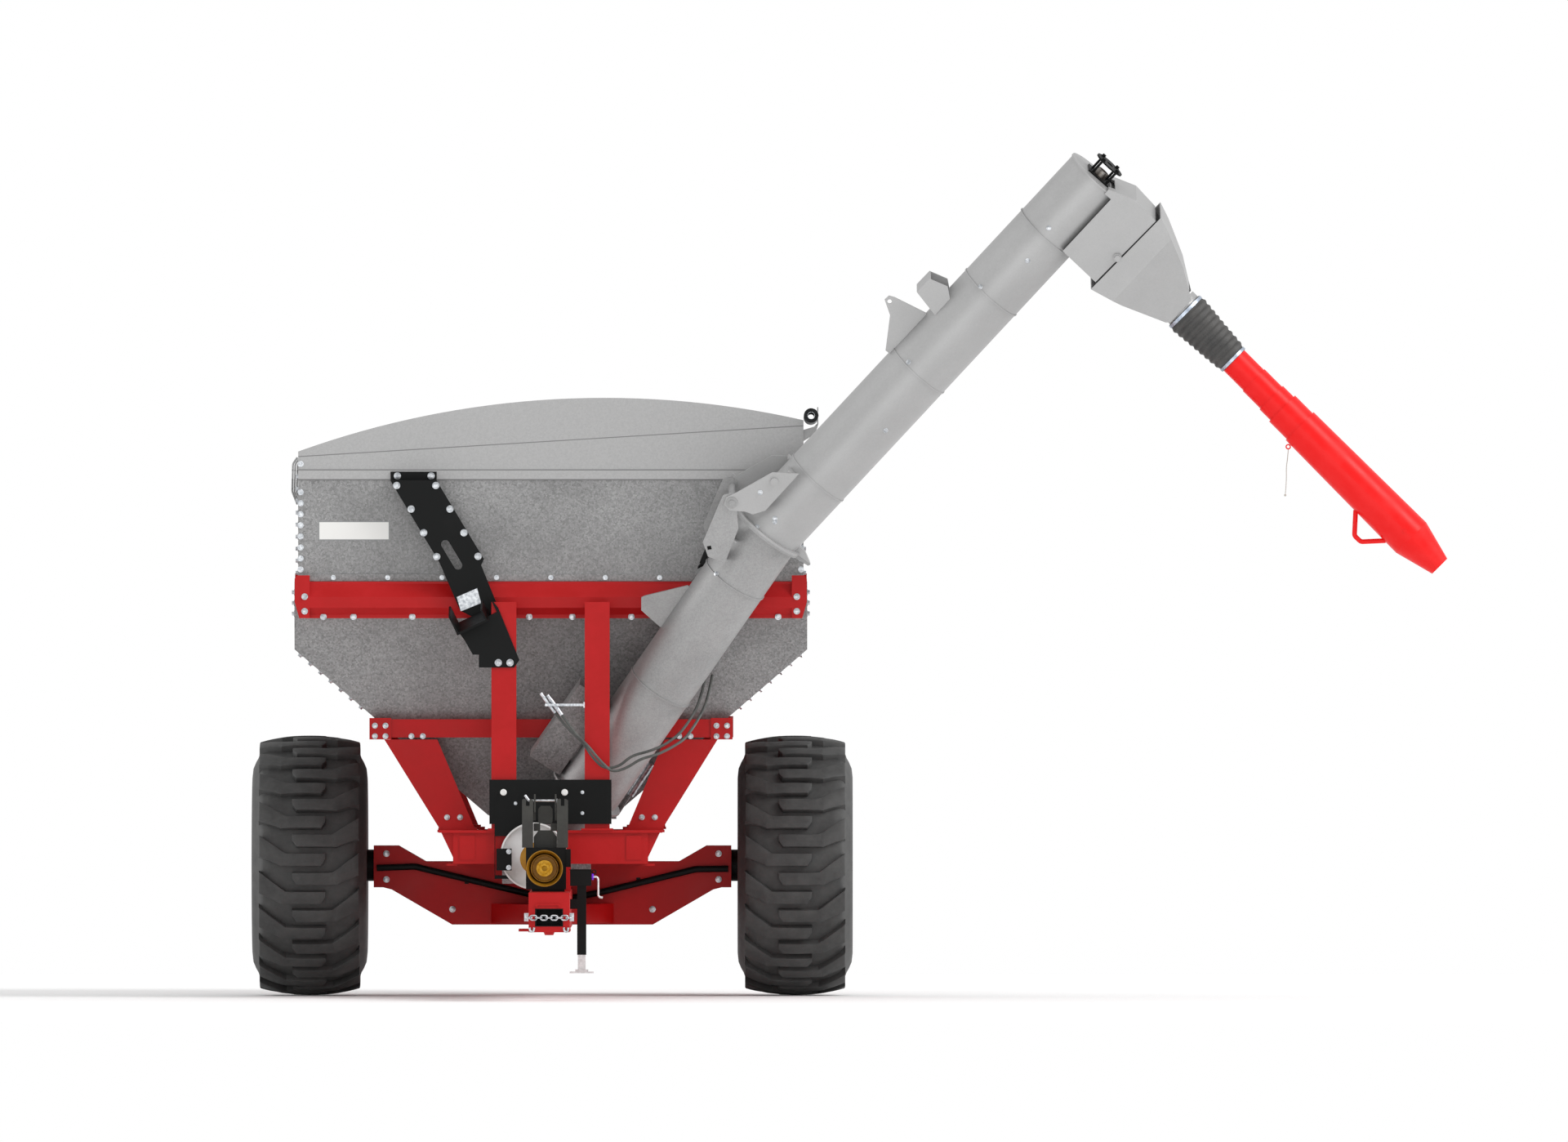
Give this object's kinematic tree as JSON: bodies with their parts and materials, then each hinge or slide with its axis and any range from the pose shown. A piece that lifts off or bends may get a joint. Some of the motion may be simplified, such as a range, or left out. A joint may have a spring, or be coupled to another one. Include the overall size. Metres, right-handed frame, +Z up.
{
  "type": "grain auger",
  "caption": "Wheeled hopper cart emptied by a folding side auger: hopper on a frame and axle, hitch, jack, drive line, hinged auger tube with a telescoping spout",
  "frame": {"origin": "middle of the vertical hitch pin bore, halfway up the mouth", "axes": "+Y is backwards from the hitch, +X is to the side the auger unloads on, +Z is up"},
  "size_m": [7.3705, 6.14, 5.1959],
  "materials": {
    "galvanised": "satin",
    "red_frame": "satin",
    "red_spout": "gloss",
    "black_paint": "satin",
    "jack_paint": "satin",
    "zinc": "satin",
    "amber_guard": "matte",
    "screw_steel": "worn",
    "tyre_rubber": "matte",
    "rim_paint": "satin",
    "bellows_rubber": "matte",
    "hose_rubber": "matte",
    "tarp_fabric": "matte",
    "rope_fibre": "matte",
    "label_print": "matte"
  },
  "bodies": {
    "cart": {"auger_boot": "galvanised", "axle_beam": "red_frame", "axle_hubs": "black_paint", "blank_label": "label_print", "chassis_frame": "red_frame", "control_panel": "black_paint", "drawbar": "red_frame", "drive_gearbox": "black_paint", "frame_bolts": "galvanised", "frame_columns": "red_frame", "guard_disc": "galvanised", "hitch_head": "red_frame", "hitch_liner": "black_paint", "hopper_bolts": "galvanised", "hopper_ends": "galvanised", "hopper_sides": "galvanised", "hopper_trough": "galvanised", "hydraulic_fittings": "galvanised", "hydraulic_hoses": "hose_rubber", "inlet_duct": "galvanised", "jack_body": "jack_paint", "lower_frame": "red_frame", "lower_tube": "galvanised", "mid_frame": "red_frame", "pto_box": "black_paint", "pto_cradle": "black_paint", "pto_guards": "amber_guard", "rest_arm": "black_paint", "safety_chain": "zinc", "tarp_roll": "tarp_fabric", "top_bows": "galvanised"},
    "wheel_left": {"tyre_left": "tyre_rubber", "rim_left": "rim_paint"},
    "wheel_right": {"tyre_right": "tyre_rubber", "rim_right": "rim_paint"},
    "jack_leg": {"jack_leg": "zinc"},
    "jack_crank": {"jack_crank": "zinc"},
    "cradle_pin": {"cradle_pin": "zinc"},
    "gate": {"gate_plate": "galvanised"},
    "pto_front": {"pto_front_shaft": "zinc"},
    "pto_rear": {"pto_rear_shaft": "zinc"},
    "drive_input": {"drive_input": "black_paint"},
    "floor_screw": {"floor_screw": "screw_steel"},
    "lower_screw": {"lower_screw": "screw_steel"},
    "upper_screw": {"upper_screw": "screw_steel"},
    "upper_auger": {"upper_tube": "galvanised", "head_cage": "black_paint", "discharge_chute": "galvanised"},
    "hood": {"spout_hood": "galvanised", "bellows": "bellows_rubber", "bellows_clamps": "zinc", "spout_a": "red_spout"},
    "sleeve_b": {"spout_b": "red_spout"},
    "sleeve_c": {"spout_c": "red_spout"},
    "sleeve_d": {"spout_d": "red_spout"},
    "sleeve_e": {"spout_e": "red_spout", "spout_rope": "rope_fibre", "rope_knot": "rope_fibre"},
    "fold_barrel": {"fold_barrel": "zinc"},
    "fold_rod": {"fold_rod": "zinc"}
  },
  "joints": [
    {"name": "wheel_spin_left", "type": "hinge", "parent": "cart", "child": "wheel_left", "pos_m": [-1.505, 4.05, 0.292], "axis": [1, 0, 0], "continuous": true},
    {"name": "wheel_spin_right", "type": "hinge", "parent": "cart", "child": "wheel_right", "pos_m": [1.505, 4.05, 0.292], "axis": [1, 0, 0], "continuous": true},
    {"name": "auger_fold", "type": "hinge", "parent": "cart", "child": "upper_auger", "pos_m": [1.11556, 1.42461, 2.5913], "axis": [0, -0.9724, -0.2334], "range_deg": [0, 158]},
    {"name": "spout_tilt", "type": "hinge", "parent": "upper_auger", "child": "hood", "pos_m": [3.48033, 1.06531, 4.08791], "axis": [0, -0.9724, -0.2334], "range_deg": [-4, 6]},
    {"name": "sleeve_b_slide", "type": "slide", "parent": "hood", "child": "sleeve_b", "axis": [0.7071, 0, -0.7071], "range_m": [-0.12, 0]},
    {"name": "sleeve_c_slide", "type": "slide", "parent": "sleeve_b", "child": "sleeve_c", "axis": [0.7071, 0, -0.7071], "range_m": [-0.1, 0]},
    {"name": "sleeve_d_slide", "type": "slide", "parent": "sleeve_c", "child": "sleeve_d", "axis": [0.7071, 0, -0.7071], "range_m": [-0.06, 0]},
    {"name": "sleeve_e_slide", "type": "slide", "parent": "sleeve_d", "child": "sleeve_e", "axis": [0.7071, 0, -0.7071], "range_m": [-0.1, 0]},
    {"name": "jack_leg_slide", "type": "slide", "parent": "cart", "child": "jack_leg", "axis": [0, 0, -1], "range_m": [-0.055, 0.235]},
    {"name": "jack_crank_turn", "type": "hinge", "parent": "cart", "child": "jack_crank", "pos_m": [0.255, 0.72, 0.244], "axis": [1, 0, 0], "range_deg": [-992, 4232]},
    {"name": "cradle_pin_turn", "type": "hinge", "parent": "cart", "child": "cradle_pin", "pos_m": [-0.029, 0.986, 0.709], "axis": [1, 0, 0], "range_deg": [-50, 50]},
    {"name": "gate_slide", "type": "slide", "parent": "cart", "child": "gate", "axis": [0.5222, -0.3235, 0.7891], "range_m": [0, 0.12]},
    {"name": "pto_front_spin", "type": "hinge", "parent": "cart", "child": "pto_front", "pos_m": [-0.029, 0.165, 0.299], "axis": [0, 1, 0], "continuous": true},
    {"name": "pto_rear_spin", "type": "hinge", "parent": "cart", "child": "pto_rear", "pos_m": [-0.029, 1.13, 0.299], "axis": [-0.2088, 0.9595, 0.1891], "continuous": true},
    {"name": "drive_input_spin", "type": "hinge", "parent": "cart", "child": "drive_input", "pos_m": [-0.103, 1.47, 0.366], "axis": [0, 1, 0], "continuous": true},
    {"name": "floor_screw_spin", "type": "hinge", "parent": "cart", "child": "floor_screw", "pos_m": [0, 2.4, 0.547], "axis": [0, 1, 0], "continuous": true},
    {"name": "lower_screw_spin", "type": "hinge", "parent": "cart", "child": "lower_screw", "pos_m": [1.3365, 1.48, 2.3606], "axis": [0.5486, -0.2756, 0.7893], "continuous": true},
    {"name": "upper_screw_spin", "type": "hinge", "parent": "upper_auger", "child": "upper_screw", "pos_m": [1.3365, 1.48, 2.3606], "axis": [0.6717, -0.1729, 0.7204], "continuous": true},
    {"name": "fold_barrel_swing", "type": "hinge", "parent": "cart", "child": "fold_barrel", "pos_m": [0.93788, 1.84399, 2.12959], "axis": [0, -0.9724, -0.2334], "range_deg": [-1, 3]},
    {"name": "fold_rod_slide", "type": "slide", "parent": "fold_barrel", "child": "fold_rod", "axis": [0.3718, -0.2167, 0.9027], "range_m": [-0.002, 0.3]}
  ],
  "couplings": [
    {"joint": "jack_crank_turn", "follows": "jack_leg_slide", "rad_per_m": 314.16},
    {"joint": "pto_rear_spin", "follows": "pto_front_spin", "ratio": 1},
    {"joint": "drive_input_spin", "follows": "pto_front_spin", "ratio": 1},
    {"joint": "floor_screw_spin", "follows": "pto_front_spin", "ratio": 0.6},
    {"joint": "lower_screw_spin", "follows": "pto_front_spin", "ratio": -1},
    {"joint": "upper_screw_spin", "follows": "pto_front_spin", "ratio": -1},
    {"joint": "fold_barrel_swing", "follows": "auger_fold", "ratio": 0.0101},
    {"joint": "fold_rod_slide", "follows": "auger_fold", "m_per_rad": 0.1066}
  ]
}
